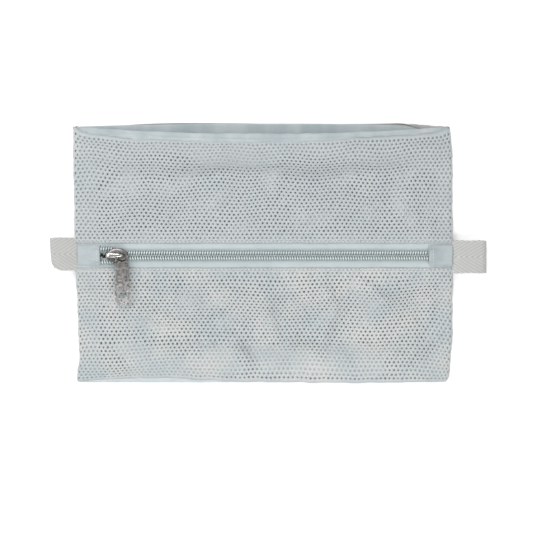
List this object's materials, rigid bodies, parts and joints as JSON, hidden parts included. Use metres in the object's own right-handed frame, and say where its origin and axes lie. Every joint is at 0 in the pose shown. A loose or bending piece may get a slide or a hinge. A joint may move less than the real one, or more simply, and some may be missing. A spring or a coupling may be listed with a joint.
{
  "type": "mesh laundry bag",
  "caption": "Flat zippered mesh wash bag with folded smooth-cloth gussets, a coil zip with a sliding metal pull, covered zip ends and a webbing loop on each side.",
  "frame": {"origin": "on the back panel's lower face, under the middle of the zip", "axes": "+X along the zip, away from the slider's closed end; +Y towards the gusset that stands open; +Z out of the front panel"},
  "size_m": [0.2793, 0.1665, 0.016],
  "materials": {
    "mesh_polyester": "knitted round-hole mesh, matt",
    "gusset_polyester": "smooth plain weave, slight sheen",
    "zip_tape": "woven tape",
    "zip_coil": "dyed nylon monofilament",
    "webbing": "herringbone webbing",
    "sewing_thread": "spun polyester thread",
    "slider_nickel": "polished dark nickel",
    "pull_nickel": "tumbled nickel"
  },
  "bodies": {
    "bag": {"back_mesh": "mesh_polyester", "front_mesh_upper": "mesh_polyester", "front_mesh_lower": "mesh_polyester", "top_gusset": "gusset_polyester", "bottom_gusset": "gusset_polyester", "top_front_seam_thread": "sewing_thread", "top_back_seam_thread": "sewing_thread", "bottom_front_seam_thread": "sewing_thread", "bottom_back_seam_thread": "sewing_thread", "side_binding_left": "gusset_polyester", "side_binding_right": "gusset_polyester", "side_seam_thread_left": "sewing_thread", "side_seam_thread_right": "sewing_thread", "zip_end_patch_left": "gusset_polyester", "zip_end_patch_right": "gusset_polyester", "patch_stitch_left": "sewing_thread", "patch_stitch_right": "sewing_thread", "zip_tape_upper": "zip_tape", "zip_tape_lower": "zip_tape", "zip_coil_upper": "zip_coil", "zip_coil_lower": "zip_coil", "coil_cord_upper": "zip_coil", "coil_cord_lower": "zip_coil", "coil_thread_upper": "sewing_thread", "coil_thread_lower": "sewing_thread", "zip_topstitch_upper": "sewing_thread", "zip_topstitch_lower": "sewing_thread", "web_loop_left": "webbing", "web_loop_right": "webbing"},
    "slider": {"slider_body": "slider_nickel", "slider_crown": "slider_nickel"},
    "pull": {"pull_tab": "pull_nickel"}
  },
  "joints": [
    {"name": "slider_slide", "type": "slide", "parent": "bag", "child": "slider", "axis": [1, 0, 0], "range_m": [-0.003, 0.19], "deforming": ["zip_coil_upper", "zip_coil_lower"]},
    {"name": "pull_swing", "type": "hinge", "parent": "slider", "child": "pull", "pos_m": [-0.0908, 0, 0.0119], "axis": [0, 0, 1], "range_deg": [-45, 225]}
  ]
}
